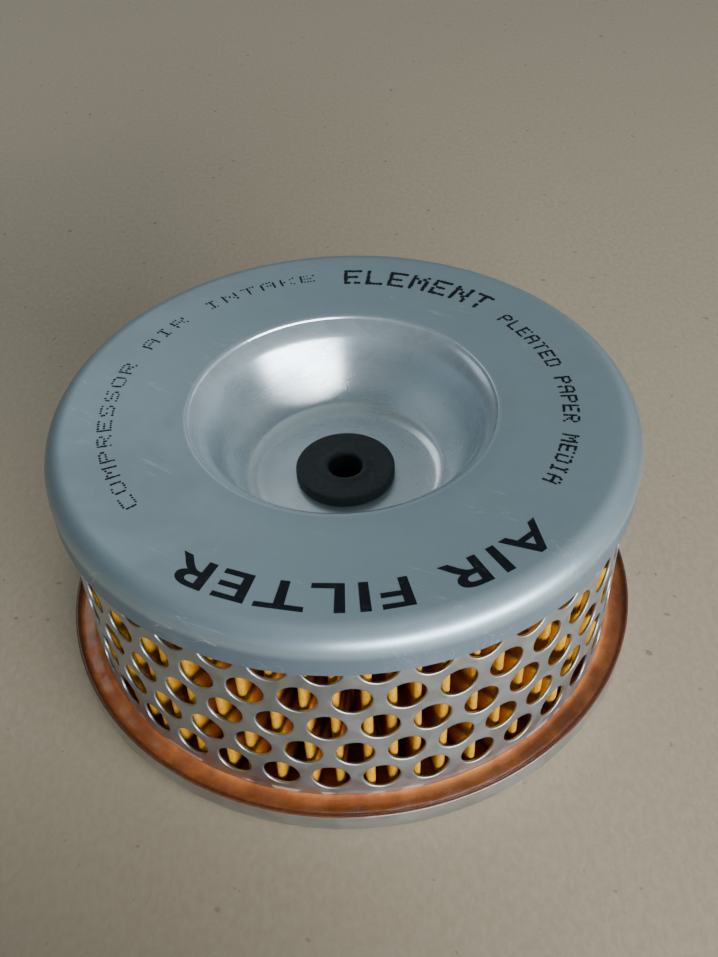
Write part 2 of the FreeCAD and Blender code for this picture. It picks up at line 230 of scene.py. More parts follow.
def polar(azimuth, elevation, distance):
    """A place seen from the element's middle, by compass angle from +X and height angle."""
    turn = math.radians(azimuth)
    rise = math.radians(elevation)
    flat = distance * math.cos(rise)
    return (flat * math.cos(turn), flat * math.sin(turn), distance * math.sin(rise) + 0.04)


ROOM_LEAN = (0.40, 0.0, -0.30)
ROOM_STRENGTH = 0.345


def make_room():
    """A plain room, a little lighter on the window's side and darker overhead."""
    world = bpy.data.worlds.new("room")
    bpy.context.scene.world = world
    world.use_nodes = True
    tree = world.node_tree
    direction = add_node(tree, "ShaderNodeTexCoord").outputs["Generated"]
    lean = add_node(tree, "ShaderNodeVectorMath", operation="DOT_PRODUCT")
    feed(tree, lean.inputs[0], direction)
    lean.inputs[1].default_value = ROOM_LEAN
    level = maths(tree, "MAXIMUM", plus(tree, lean.outputs["Value"], 1.0), 0.2)
    background = tree.nodes["Background"]
    background.inputs["Color"].default_value = (0.80, 0.96, 1.0, 1.0)
    feed(tree, background.inputs["Strength"], times(tree, level, ROOM_STRENGTH))


MIDDLE = (0.0, 0.0, 0.04)
area_light("window", polar(-58, 10, 1.0), MIDDLE, 1.22, 0.30, 27.5, (0.92, 0.97, 1.0))
area_light("pale_wall", polar(122, 42, 1.3), MIDDLE, 0.80, 0.50, 1.4, (0.86, 0.95, 1.0))
make_room()

# %% [markdown]
# ## Where a point is on a turned piece
# Forming marks run round the axis, and wear sits at certain radii. This group turns a
# place into its radius and level in millimetres, and into a direction on a small circle,
# which can drive a texture without the seam that an angle would leave at the back.

# %% Group: turned place
def make_turned_place():
    tree, start, end = new_group(
        "turned place", [("Vector", VECTOR, None)],
        [("Radius", FLOAT), ("Level", FLOAT), ("Around", VECTOR)])
    parts = add_node(tree, "ShaderNodeSeparateXYZ")
    feed(tree, parts.inputs[0], start.outputs["Vector"])
    across = times(tree, parts.outputs["X"], parts.outputs["X"])
    along = times(tree, parts.outputs["Y"], parts.outputs["Y"])
    radius = maths(tree, "SQRT", plus(tree, across, along))
    radius_mm = times(tree, radius, 1000.0)
    level_mm = times(tree, parts.outputs["Z"], 1000.0)
    safe = maths(tree, "MAXIMUM", radius, 0.0001)
    path = plus(tree, radius_mm, level_mm)
    ring = add_node(tree, "ShaderNodeCombineXYZ")
    around = fill(tree, ring, X=maths(tree, "DIVIDE", parts.outputs["X"], safe),
                  Y=maths(tree, "DIVIDE", parts.outputs["Y"], safe), Z=path)
    fill(tree, end, Radius=radius_mm, Level=level_mm, Around=around[0])
    return tree


TURNED_PLACE = make_turned_place()
print("group:", TURNED_PLACE.name)

# %% [markdown]
# ## Zinc skin
# Hot-dip zinc freezes in small crystals, which a skin-pass roller then flattens. What is
# left is a faint cloudiness of a few millimetres, with a finer grain inside it. Two noises
# and a soft cell pattern, kept weak, look more like it than one strong spangle.

# %% Group: zinc skin
def make_zinc_skin():
    tree, start, end = new_group(
        "zinc skin", [("Vector", VECTOR, None), ("Crystal", FLOAT, 260.0)],
        [("Shade", FLOAT), ("Grain", FLOAT)])
    place = start.outputs["Vector"]
    cells = add_node(tree, "ShaderNodeTexVoronoi", feature="F1")
    fill(tree, cells, Vector=place, Scale=start.outputs["Crystal"])
    tint = add_node(tree, "ShaderNodeSeparateColor")
    feed(tree, tint.inputs[0], cells.outputs["Color"])
    cloud = noise(tree, place, 55.0, 4.0, 0.6)
    fine = noise(tree, place, 900.0, 3.0, 0.6)
    crystal_share = times(tree, tint.outputs[0], 0.22)
    cloud_share = times(tree, cloud, 0.55)
    fine_share = times(tree, fine, 0.23)
    shade = plus(tree, plus(tree, crystal_share, cloud_share), fine_share)
    grain = plus(tree, times(tree, fine, 0.8), crystal_share)
    fill(tree, end, Shade=shade, Grain=grain)
    return tree


ZINC_SKIN = make_zinc_skin()
print("group:", ZINC_SKIN.name)

# %% [markdown]
# ## Handling marks
# A filter is picked up and stacked before it is fitted, so its metal has dull finger
# smudges and hair scratches. Smudges are a low noise with soft limits. A scratch is the
# thin line where a stretched noise crosses its middle value.

# %% Group: handling marks
def make_handling_marks():
    tree, start, end = new_group(
        "handling marks", [("Vector", VECTOR, None), ("Smudge scale", FLOAT, 38.0)],
        [("Smudge", FLOAT), ("Scratch", FLOAT)])
    place = start.outputs["Vector"]
    soft = noise(tree, place, start.outputs["Smudge scale"], 3.0, 0.55, 0.6)
    smudge = spread(tree, soft, 0.48, 0.72)
    lines = None
    for turn, scale in ((0.5, (30.0, 420.0, 200.0)), (2.2, (420.0, 26.0, 200.0))):
        turned = add_node(tree, "ShaderNodeVectorRotate", rotation_type="Z_AXIS")
        feed(tree, turned.inputs["Vector"], place)
        turned.inputs["Angle"].default_value = turn
        drawn = noise(tree, stretch(tree, turned.outputs[0], scale), 1.0, 1.0, 0.4)
        away = maths(tree, "ABSOLUTE", maths(tree, "SUBTRACT", drawn, 0.5))
        thin = spread(tree, away, 0.0, 0.006, 1.0, 0.0)
        lines = thin if lines is None else maths(tree, "MAXIMUM", lines, thin)
    patches = spread(tree, noise(tree, place, 70.0, 2.0), 0.52, 0.66)
    fill(tree, end, Smudge=smudge, Scratch=times(tree, lines, patches))
    return tree


HANDLING_MARKS = make_handling_marks()
print("group:", HANDLING_MARKS.name)

# %% [markdown]
# ## Settled dust
# Dust lies where a surface faces up. The group multiplies that by a fine noise, and each
# material mixes it in at its own strength, more on rubber and less on bright steel.

# %% Group: settled dust
def make_settled_dust():
    tree, start, end = new_group(
        "settled dust", [("Vector", VECTOR, None), ("Grain", FLOAT, 500.0)],
        [("Dust", FLOAT)])
    shape = add_node(tree, "ShaderNodeNewGeometry")
    facing = add_node(tree, "ShaderNodeSeparateXYZ")
    feed(tree, facing.inputs[0], shape.outputs["Normal"])
    up = spread(tree, facing.outputs["Z"], 0.1, 0.95)
    specks = noise(tree, start.outputs["Vector"], start.outputs["Grain"], 4.0, 0.7)
    patches = noise(tree, start.outputs["Vector"], 60.0, 2.0)
    mixed = times(tree, spread(tree, specks, 0.42, 0.75),
                  spread(tree, patches, 0.3, 0.7, 0.4, 1.0))
    feed(tree, end.inputs["Dust"], times(tree, mixed, up))
    return tree


SETTLED_DUST = make_settled_dust()
print("group:", SETTLED_DUST.name)

# %% [markdown]
# ## Material shell
# Every material starts the same way: a Principled shader, object coordinates and a bump
# node. Object coordinates are metres on the piece itself, so one noise scale means the
# same grain size on every piece.

# %% Write the material helper
class Finish:
    """A new material with its shader, its coordinates and a bump node ready to wire."""

    def __init__(self, name, bump_depth):
        self.material = bpy.data.materials.new(name)
        self.material.use_nodes = True
        self.tree = self.material.node_tree
        self.shader = self.tree.nodes["Principled BSDF"]
        self.place = add_node(self.tree, "ShaderNodeTexCoord").outputs["Object"]
        self.bump = add_node(self.tree, "ShaderNodeBump")
        self.bump.inputs["Strength"].default_value = 1.0
        self.bump.inputs["Distance"].default_value = bump_depth
        self.tree.links.new(self.bump.outputs["Normal"], self.shader.inputs["Normal"])

    def wire(self, **sockets):
        fill(self.tree, self.shader, **sockets)

    def use(self, group, **values):
        return use_group(self.tree, group, Vector=self.place, **values)

    def relief(self, height):
        feed(self.tree, self.bump.inputs["Height"], height)


# %% [markdown]
# ## Galvanised cap
# The cap's flat ring keeps the dull skin of the rolled sheet. The punch stretched and
# polished the dish, which is brighter for it, and the draw ring rubbed the rolled edge
# smooth. Painted light brightens the dish's floor and lower wall, and painted shade
# darkens the skirt and the edge. Masks by radius and level tell the finishes apart.
# White zinc oxide scatters about a third of the light, so the shader is not quite a full metal.

# %% Material: galvanised cap
DISH_EDGE = 36.7


def make_cap_finish():
    finish = Finish("galvanised_cap", 0.02 * MM)
    tree = finish.tree
    turned = finish.use(TURNED_PLACE)
    zinc = finish.use(ZINC_SKIN, Crystal=300.0)
    marks = finish.use(HANDLING_MARKS)
    dust = finish.use(SETTLED_DUST)
    inside = spread(tree, turned["Radius"], DISH_EDGE, DISH_EDGE + 0.9, 1.0, 0.0)
    # painted light: the flat floor of the dish gets most of the dish's bright colour
    dish = times(tree, inside, spread(tree, turned["Radius"], 19.5, 22.5, 0.7, 1.0))
    # painted light: the lower dish wall is painted near white
    low_wall_painted_light = spread(tree, turned["Level"], 47.0, 56.0, 1.0, 0.0)
    outer = spread(tree, turned["Radius"], 66.5, 69.0)
    edge = times(tree, outer, spread(tree, turned["Level"], 58.0, 60.5))
    skirt_painted_shade = times(tree, outer, spread(tree, turned["Level"], 57.0, 60.0, 1.0, 0.0))
    polished = maths(tree, "MAXIMUM", dish, times(tree, edge, 0.5))
    rings = noise(tree, stretch(tree, turned["Around"], (1.2, 1.2, 4.0)), 1.0, 4.0, 0.65)
    skin = blend_colours(tree, zinc["Shade"], (0.30, 0.385, 0.425), (0.385, 0.475, 0.52))
    worn = blend_colours(tree, rings, (0.44, 0.515, 0.565), (0.54, 0.615, 0.665))
    bright = blend_colours(tree, low_wall_painted_light, worn, (0.90, 0.96, 0.99))
    dish_polish_and_light = blend_colours(tree, dish, skin, bright)
    # painted shade: the rolled edge is painted darker and bluer than the ring
    drawn = tint(tree, edge, 0.55, dish_polish_and_light, (0.20, 0.27, 0.315))
    # painted shade: the skirt is painted darker and bluer still
    colour = tint(tree, skirt_painted_shade, 0.85, drawn, (0.125, 0.17, 0.215))
    smudged = tint(tree, marks["Smudge"], 0.22, colour, (0.30, 0.33, 0.34))
    scratched = tint(tree, marks["Scratch"], 0.35, smudged, (0.80, 0.82, 0.83))
    dusty = tint(tree, dust["Dust"], 0.10, scratched, (0.52, 0.50, 0.45))
    dull = spread(tree, zinc["Shade"], 0.1, 0.9, 0.40, 0.52)
    shiny = spread(tree, rings, 0.2, 0.8, 0.18, 0.27)
    rough = add_node(tree, "ShaderNodeMix", data_type="FLOAT")
    feed(tree, rough.inputs["Factor"], polished)
    feed(tree, rough.inputs[2], dull)
    feed(tree, rough.inputs[3], shiny)
    rubbed = plus(tree, rough.outputs[0], times(tree, marks["Smudge"], 0.07))
    ring_height = times(tree, times(tree, rings, polished), 0.35)
    finish.relief(plus(tree, zinc["Grain"], ring_height))
    finish.wire(Base_Color=dusty, Roughness=rubbed, Metallic=spread(
        tree, zinc["Shade"], 0.1, 0.9, 0.62, 0.78))
    return finish.material


CAP_FINISH = make_cap_finish()
print("material:", CAP_FINISH.name)

# %% [markdown]
# ## Plain galvanised sheet
# The tubes, the pan and the clip are the same coated steel without the polish. The tubes
# also have a thin smear of adhesive at the foot, up to the level given here.

# %% Material: plain sheet
def make_sheet_finish(name, dark, light, smear_level):
    finish = Finish(name, 0.015 * MM)
    tree = finish.tree
    turned = finish.use(TURNED_PLACE)
    zinc = finish.use(ZINC_SKIN, Crystal=420.0)
    marks = finish.use(HANDLING_MARKS, Smudge_scale=60.0)
    colour = blend_colours(tree, zinc["Shade"], dark, light)
    smudged = tint(tree, marks["Smudge"], 0.25, colour, (0.26, 0.27, 0.27))
    blotches = spread(tree, noise(tree, finish.place, 160.0, 3.0), 0.50, 0.62)
    low = spread(tree, turned["Level"], smear_level, smear_level + 1.6, 1.0, 0.0)
    smear = times(tree, blotches, low)
    stained_and_shaded = tint(tree, smear, 0.75, smudged, (0.36, 0.15, 0.05))
    dull = spread(tree, zinc["Shade"], 0.1, 0.9, 0.34, 0.50)
    finish.relief(zinc["Grain"])
    finish.wire(Base_Color=stained_and_shaded, Metallic=spread(tree, smear, 0.2, 0.8, 1.0, 0.2),
                Roughness=plus(tree, dull, times(tree, marks["Smudge"], 0.08)))
    return finish.material


TUBE_SMEAR = 6.3
NO_SMEAR = -9.0
LINER_FINISH = make_sheet_finish("perforated_steel", (0.36, 0.39, 0.41), (0.47, 0.50, 0.52),
                                 TUBE_SMEAR)
PAN_FINISH = make_sheet_finish("pan_steel", (0.36, 0.37, 0.365), (0.46, 0.47, 0.465), NO_SMEAR)
CLIP_FINISH = make_sheet_finish("clip_tin", (0.50, 0.50, 0.49), (0.66, 0.66, 0.65), NO_SMEAR)
print("materials:", LINER_FINISH.name, PAN_FINISH.name, CLIP_FINISH.name)

# %% [markdown]
# ## Rubber
# Moulded rubber is nearly black and shows its grain only in the sheen. A little grey bloom
# and dust on its upper face keep it from looking like a hole in the metal.

# %% Material: rubber
def make_rubber(name, dark, bloom, dust_share):
    finish = Finish(name, 0.03 * MM)
    tree = finish.tree
    dust = finish.use(SETTLED_DUST, Grain=700.0)
    cloud = noise(tree, finish.place, 420.0, 5.0, 0.7)
    grain = noise(tree, finish.place, 2600.0, 3.0, 0.65)
    colour = blend_colours(tree, spread(tree, cloud, 0.35, 0.7), dark, bloom)
    dusty = tint(tree, dust["Dust"], dust_share, colour, (0.16, 0.165, 0.16))
    finish.relief(grain)
    finish.wire(Base_Color=dusty, Roughness=spread(tree, cloud, 0.3, 0.7, 0.55, 0.72))
    finish.wire(Specular_IOR_Level=0.4)
    return finish.material


BUSH_RUBBER = make_rubber("bush_rubber", (0.026, 0.031, 0.033), (0.042, 0.049, 0.052), 0.25)
GASKET_RUBBER = make_rubber("gasket_rubber", (0.014, 0.014, 0.014), (0.028, 0.028, 0.027), 0.2)
print("materials:", BUSH_RUBBER.name, GASKET_RUBBER.name)

# %% [markdown]
# ## Filter paper
# The paper is a resin-cured felt of fibres: warm orange-yellow and dull.
# Light that goes down between two pleats bounces from wall to wall and comes back deep
# red-brown, so a mask by radius darkens the paper there. Fine ribs are embossed across it.

# %% Material: filter paper
def make_paper():
    finish = Finish("filter_paper", 0.06 * MM)
    tree = finish.tree
    fibres = noise(tree, stretch(tree, finish.place, (1.0, 1.0, 0.35)), 1500.0, 5.0, 0.7)
    cloud = noise(tree, finish.place, 90.0, 3.0, 0.55)
    ribs = add_node(tree, "ShaderNodeTexWave", wave_type="BANDS", bands_direction="Z")
    fill(tree, ribs, Vector=finish.place, Scale=260.0, Distortion=1.4, Detail=1.0)
    turned = finish.use(TURNED_PLACE)
    deep = spread(tree, turned["Radius"], 62.4, 66.8, 1.0, 0.0)
    pale = blend_colours(tree, cloud, (0.53, 0.265, 0.006), (0.62, 0.33, 0.010))
    felt = blend_colours(tree, spread(tree, fibres, 0.35, 0.7), (0.44, 0.18, 0.005), pale)
    colour = tint(tree, deep, 0.92, felt, (0.25, 0.045, 0.009))
    height = plus(tree, fibres, times(tree, ribs.outputs["Fac"], 0.8))
    finish.relief(height)
    finish.wire(Base_Color=colour, Roughness=spread(tree, fibres, 0.3, 0.7, 0.70, 0.88))
    finish.wire(Specular_IOR_Level=0.12)
    return finish.material


PAPER_FINISH = make_paper()
print("material:", PAPER_FINISH.name)

# %% [markdown]
# ## Plastisol
# The adhesive is poured as a liquid and cured in the oven. It stays glossy and slightly
# translucent, with darker clouds where it scorched and a few tiny bubbles near the top. Its
# colour also goes near black towards the pan's lip.

# %% Material: plastisol
def make_plastisol():
    finish = Finish("plastisol", 0.12 * MM)
    tree = finish.tree
    turned = finish.use(TURNED_PLACE)
    cloud = noise(tree, finish.place, 85.0, 4.0, 0.6)
    fine = noise(tree, finish.place, 420.0, 3.0, 0.55)
    bubbles = add_node(tree, "ShaderNodeTexVoronoi", feature="F1")
    fill(tree, bubbles, Vector=finish.place, Scale=420.0)
    pits = spread(tree, bubbles.outputs["Distance"], 0.0, 0.22, 1.0, 0.0)
    few = spread(tree, noise(tree, finish.place, 150.0, 1.0), 0.58, 0.66)
    pits = times(tree, pits, few)
    body = blend_colours(tree, spread(tree, cloud, 0.36, 0.66), (0.33, 0.085, 0.022),
                         (0.62, 0.19, 0.048))
    # darker towards the pan's lip: the colour goes near black there
    darker_near_lip = spread(tree, turned["Radius"], 71.8, 73.1)
    colour = tint(tree, darker_near_lip, 0.9, body, (0.07, 0.022, 0.010))
    wavy = plus(tree, times(tree, cloud, 1.6), times(tree, fine, 0.5))
    finish.relief(maths(tree, "SUBTRACT", wavy, times(tree, pits, 0.6)))
    finish.wire(Base_Color=colour, Roughness=spread(tree, fine, 0.3, 0.7, 0.14, 0.30))
    finish.wire(Subsurface_Weight=0.25, Subsurface_Radius=(1.0, 0.35, 0.12),
                Subsurface_Scale=0.0015, Coat_Weight=0.2, Coat_Roughness=0.08)
    return finish.material


PLASTISOL = make_plastisol()
print("material:", PLASTISOL.name)

# %% [markdown]
# ## Printing ink
# Ink on zinc is a thin blue-black film that goes grey where it dried thin. It has its own
# small relief, so that it catches the light a little differently from the metal.

# %% Material: ink
def make_ink():
    finish = Finish("print_ink", 0.01 * MM)
    tree = finish.tree
    patchy = noise(tree, finish.place, 700.0, 4.0, 0.65)
    colour = blend_colours(tree, spread(tree, patchy, 0.5, 0.85), (0.004, 0.006, 0.010),
                           (0.03, 0.04, 0.05))
    finish.relief(patchy)
    finish.wire(Base_Color=colour, Roughness=spread(tree, patchy, 0.3, 0.7, 0.42, 0.62))
    finish.wire(Specular_IOR_Level=0.2)
    return finish.material


INK = make_ink()
print("material:", INK.name)

# %% [markdown]
# ## Turning an outline
# A lathe for sheet metal and rubber: a closed outline of (radius, level) points in
# millimetres is copied round the axis and joined with quads. An optional ripple moves
# points a few hundredths of a millimetre, because no pressed ring is perfectly flat.

# %% Write the mesh helpers
def arc(centre, radius, start, end, steps):
    """Points on an arc, by angle in degrees in the (radius, level) plane."""
    points = []
    for step in range(steps + 1):
        angle = math.radians(start + (end - start) * step / steps)
        points.append((centre[0] + radius * math.cos(angle), centre[1] + radius * math.sin(angle)))
    return points


def bridge(mesh, here, there, closed=True):
    """Join two rows of points with quads."""
    count = len(here)
    for step in range(count if closed else count - 1):
        after = (step + 1) % count
        mesh.faces.new((here[step], here[after], there[after], there[step]))


def turn_outline(mesh, outline, segments, ripple=None):
    """Add a closed outline turned round the axis to a bmesh."""
    rings = []
    for radius, level in outline:
        ring = []
        for step in range(segments):
            angle = 2 * math.pi * step / segments
            out, up = (0.0, 0.0) if ripple is None else ripple(radius, level, angle)
            reach_here = (radius + out) * MM
            place = (reach_here * math.cos(angle), reach_here * math.sin(angle), (level + up) * MM)
            ring.append(mesh.verts.new(place))
        rings.append(ring)
    for here, there in zip(rings, rings[1:] + rings[:1]):
        bridge(mesh, here, there)


def finish_piece(name, mesh, material, sharp=35.0):
    """Turn a bmesh into a smooth-shaded object with sharp creases kept."""
    bmesh.ops.recalc_face_normals(mesh, faces=mesh.faces)
    data = bpy.data.meshes.new(name)
    mesh.to_mesh(data)
    mesh.free()
    data.materials.append(material)
    data.polygons.foreach_set("use_smooth", [True] * len(data.polygons))
    data.set_sharp_from_angle(angle=math.radians(sharp))
    piece = add_object(name, data)
    print(name, "has", len(data.polygons), "faces")
    return piece


def stand_in_for(piece, node):
    """The piece rides on the element and replaces its CAD node."""
    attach(piece, "root")
    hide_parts(node)


def turned_piece(name, outline, segments, material, node, sharp=35.0, ripple=None):
    """Turn an outline into a finished piece that stands in for its CAD node."""
    mesh = bmesh.new()
    turn_outline(mesh, outline, segments, ripple)
    stand_in_for(finish_piece(name, mesh, material, sharp), node)


# %% [markdown]
# ## The top cap
# One disc of sheet, drawn down at the rim and punched into a dish. The outline follows the
# upper face from the hole to the skirt and comes back along the underside, one sheet
# thickness away. The punch's clamp left a small sharp step where the dish begins; below
# it the rim rolls over slowly into a steep wall.

# %% Piece: top cap
TOP = CAP_TOP / MM
CAP_R = CAP_RADIUS / MM
T = SHEET / MM
CORNER = 5.5
SKIRT_END = TOP - 11.15
DISH_DEPTH = 22.0
DISH_FLOOR = TOP - DISH_DEPTH
SLOPE = 65.0
RIM_ROUND = 8.0
RIM_CENTRE = (39.75, TOP - 7.88)
RIM_END = 28.0
STEP_ROUND = 0.5
BOWL_ROUND = 3.8
WALL_TOP = 34.6
WALL_FOOT = WALL_TOP - DISH_DEPTH / math.tan(math.radians(SLOPE))
BOWL_CENTRE = (WALL_FOOT - BOWL_ROUND * math.tan(math.radians(SLOPE / 2)),
               DISH_FLOOR + BOWL_ROUND)


def cap_ripple(radius, level, angle):
    """Slow waves of the flat ring."""
    flat = max(0.0, min(1.0, (radius - 40.0) / 6.0)) * max(0.0, min(1.0, (66.0 - radius) / 3.0))
    wave = 0.5 + 0.5 * math.sin(3 * angle + 0.7) * math.sin(5 * angle + radius / 9.0)
    return 0.0, -0.05 * flat * wave


def cap_outline():
    corner = (CAP_R - CORNER, TOP - CORNER)
    upper = [(8.35, DISH_FLOOR), (12.0, DISH_FLOOR), (17.0, DISH_FLOOR)]
    upper += arc(BOWL_CENTRE, BOWL_ROUND, -90, SLOPE - 90, 8)
    upper += [(29.0, TOP - (WALL_TOP - 29.0) * math.tan(math.radians(SLOPE)))]
    upper += arc(RIM_CENTRE, RIM_ROUND, 90 + SLOPE, 90 + RIM_END, 9)
    upper += [(36.10, TOP - 0.74), (36.17, TOP - 0.62), (36.24, TOP - 0.40)]
    upper += arc((36.24 + STEP_ROUND, TOP - STEP_ROUND), STEP_ROUND, 162, 90, 6)
    upper += [(CAP_R - CORNER - step, TOP) for step in (22.0, 18.0, 14.0, 10.0, 6.0, 3.0)]
    upper += arc(corner, CORNER, 90, 0, 14)
    upper += [(CAP_R, SKIRT_END + 3.0), (CAP_R, SKIRT_END + 0.3), (CAP_R - 0.25, SKIRT_END)]
    lower = [(CAP_R - T + 0.2, SKIRT_END), (CAP_R - T, SKIRT_END + 0.25)]
    lower += arc(corner, CORNER - T, 0, 90, 10)
    lower += arc(RIM_CENTRE, RIM_ROUND - T, 100.4, 90 + SLOPE, 8)
    lower += arc(BOWL_CENTRE, BOWL_ROUND + T, SLOPE - 90, -90, 8)
    lower += [(8.1, DISH_FLOOR - T), (8.0, DISH_FLOOR - T + 0.15), (8.0, DISH_FLOOR - 0.3)]
    return upper + lower


turned_piece("cap_pressing", cap_outline(), 288, CAP_FINISH, "top_end_cap",
             ripple=cap_ripple)

# %% [markdown]
# ## The rubber bush
# A snap-in bush: a wide flange lies in the dish, a neck passes through the cap and a
# smaller flange keeps it there. Its edges are rounded because rubber never leaves a mould
# sharp, and a faint raised ring round the hole is the lip that seals on the stud's washer.

# %% Piece: rubber bush
def make_bush():
    low, high = levels("stud_grommet")
    top = high / MM
    foot = low / MM
    flange = reach("stud_grommet") / MM
    seat = DISH_FLOOR + 0.02
    under = DISH_FLOOR - T - 0.02
    outline = [(4.2, under - 0.6), (4.2, top - 0.9)]
    outline += arc((5.0, top - 0.9), 0.8, 180, 90, 5)
    outline += [(5.9, top - 0.1), (6.3, top - 0.28), (6.9, top - 0.32), (10.6, top - 0.26)]
    outline += arc((flange - 0.55, top - 0.6), 0.55, 75, 0, 5)
    outline += arc((flange - 0.35, seat + 0.35), 0.35, 0, -90, 3)
    outline += [(7.75, seat), (7.7, seat - 0.1), (7.7, under + 0.1), (7.8, under)]
    outline += arc((10.0, under - 0.5), 0.5, 90, 0, 3)
    outline += arc((9.9, foot + 0.6), 0.6, 0, -90, 4)
    outline += arc((4.8, foot + 0.6), 0.6, -90, -180, 4)
    turned_piece("stud_bush", outline, 128, BUSH_RUBBER, "stud_grommet", 50.0)


make_bush()

# %% [markdown]
# ## The perforated tubes
# Holes could be cut from a tube with a boolean, but hundreds of cuts leave ragged
# triangles. The pattern itself gives a cleaner way: staggered holes sit in six-sided
# cells, so the sheet is made cell by cell, each a ring of quads from its hole to its
# border, and the cells are then wrapped round the axis and welded.

# %% Write the perforated sheet
AROUND_HOLE = 36
ROW_PITCH = 9.6
FIRST_ROW = CAP_TOP / MM - 12.45
ROWS = 5
ROWS_TURN = math.radians(0.95)
HOLE = 4.2
OUTER_PER_ROW = 38
INNER_PER_ROW = 26
INNER_RADIUS = 45.7


def cell_border(angle):
    """Distance from a cell's middle to its border, for a pitch of one."""
    off_axis = angle - math.radians(60) * round(angle / math.radians(60))
    return 0.5 / math.cos(off_axis)


def wrap(radius, aside, level):
    """A place on the tube: aside is the distance round it from the front."""
    angle = -math.pi / 2 + aside
    return (radius * MM * math.cos(angle), radius * MM * math.sin(angle), level * MM)


def hole_cell(mesh, outside, sheet, aside, level, pitch, tall):
    """One cell of the sheet: outer face, rounded hole edge, bore, inner face."""
    inside = outside - sheet
    layers = [(outside, None), (outside, HOLE + 0.5), (outside, HOLE + 0.2),
              (outside - 0.07, HOLE + 0.06), (outside - 0.2, HOLE), (inside + 0.12, HOLE + 0.02),
              (inside, HOLE + 0.12), (inside, None)]
    rings = []
    for radius, hole in layers:
        ring = []
        for step in range(AROUND_HOLE):
            angle = 2 * math.pi * step / AROUND_HOLE
            if hole is None:
                across = cell_border(angle) * math.cos(angle) * pitch
                up = cell_border(angle) * math.sin(angle) * tall
            else:
                across = hole * math.cos(angle) / outside
                up = hole * math.sin(angle)
            ring.append(mesh.verts.new(wrap(radius, aside + across, level + up)))
        rings.append(ring)
    for here, there in zip(rings, rings[1:]):
        bridge(mesh, here, there)


def plain_margin(mesh, outside, sheet, aside, level, pitch, tall, edge):
    """The strip from one end row's zigzag border to the tube's straight end."""
    inside = outside - sheet
    upward = edge > level
    start = AROUND_HOLE // 12 if upward else AROUND_HOLE // 12 + AROUND_HOLE // 2
    columns = []
    for step in range(start, start + AROUND_HOLE // 3 + 1):
        angle = 2 * math.pi * step / AROUND_HOLE
        across = aside + cell_border(angle) * math.cos(angle) * pitch
        border = level + cell_border(angle) * math.sin(angle) * tall
        bevel = edge - 0.15 if upward else edge + 0.15
        column = [wrap(outside, across, border), wrap(outside, across, bevel),
                  wrap(outside - 0.15, across, edge), wrap(inside + 0.15, across, edge),
                  wrap(inside, across, bevel), wrap(inside, across, border)]
        columns.append([mesh.verts.new(place) for place in column])
    for here, there in zip(columns, columns[1:]):
        for index in range(5):
            mesh.faces.new((here[index], there[index], there[index + 1], here[index + 1]))


def perforated_sheet(mesh, outside, sheet, foot, top, per_row):
    pitch = 2 * math.pi / per_row
    tall = ROW_PITCH / math.cos(math.radians(30))
    for row in range(ROWS):
        level = FIRST_ROW - ROW_PITCH * row
        shift = 0.5 if row % 2 == 0 else 0.0
        for index in range(per_row):
            aside = (index + shift) * pitch - ROWS_TURN
            hole_cell(mesh, outside, sheet, aside, level, pitch, tall)
            if row == 0:
                plain_margin(mesh, outside, sheet, aside, level, pitch, tall, top)
            if row == ROWS - 1:
                plain_margin(mesh, outside, sheet, aside, level, pitch, tall, foot)
    bmesh.ops.remove_doubles(mesh, verts=mesh.verts, dist=0.004 * MM)


# %% [markdown]
# ## The outer tube and its seam
# The sheet is rolled up, its plain edges are lapped at the back and spot-welded. The lap
# is a slim strip with a row of shallow weld dimples, which a grid of points can carry.

# %% Piece: outer tube
def lap_strip(mesh, radius, thick, width, foot, top, welds):
    """A curved strip on the tube's back, dimpled where it is spot-welded."""
    across_steps, up_steps = 14, 150
    grid = []
    for up in range(up_steps + 1):
        level = foot + (top - foot) * up / up_steps
        row = []
        for step in range(across_steps + 1):
            aside = width * (step / across_steps - 0.5)
            rim = max(0.0, abs(aside) - width / 2 + 0.3) / 0.3
            dimple = 0.0
            for weld in welds:
                away = math.hypot(aside, level - weld)
                dimple = max(dimple, 1.0 - min(1.0, away / 1.7) ** 2)
            height = thick * (1.0 - 0.6 * rim) - 0.28 * dimple
            row.append(mesh.verts.new(wrap(radius + height, math.pi + aside / radius, level)))
        grid.append(row)
    for low, high in zip(grid, grid[1:]):
        bridge(mesh, low, high, closed=False)


def make_outer_tube():
    low, high = levels("outer_liner")
    mesh = bmesh.new()
    perforated_sheet(mesh, LINER_RADIUS / MM, LINER_SHEET / MM, low / MM, high / MM,
                     OUTER_PER_ROW)
    welds = [FIRST_ROW - ROW_PITCH * (row + 0.5) for row in range(ROWS - 1)]
    lap_strip(mesh, LINER_RADIUS / MM - 0.12, thick=0.55, width=7.0, foot=6.8, top=56.4,
              welds=welds)
    piece = finish_piece("outer_tube", mesh, LINER_FINISH, 40.0)
    stand_in_for(piece, "outer_liner")


make_outer_tube()

# %% [markdown]
# ## The inner tube
# The same sheet with fewer holes round it. It is seen only through the outlet, yet it
# makes the clean side look like what it is.

# %% Piece: inner tube
def make_inner_tube():
    low, high = levels("inner_liner")
    mesh = bmesh.new()
    perforated_sheet(mesh, INNER_RADIUS, LINER_SHEET / MM, low / MM, high / MM,
                     INNER_PER_ROW)
    piece = finish_piece("inner_tube", mesh, LINER_FINISH, 40.0)
    stand_in_for(piece, "inner_liner")


make_inner_tube()

# %% [markdown]
# ## The pleated paper
# The paper is one strip, so it is modelled as one line that runs out and back round the
# ring, rounded at every fold, and then drawn up in several levels. Real pleats are never
# even: their spacing, depth and lean vary, and the walls bow. A seeded random generator
# gives that unevenness and the same folds every time.

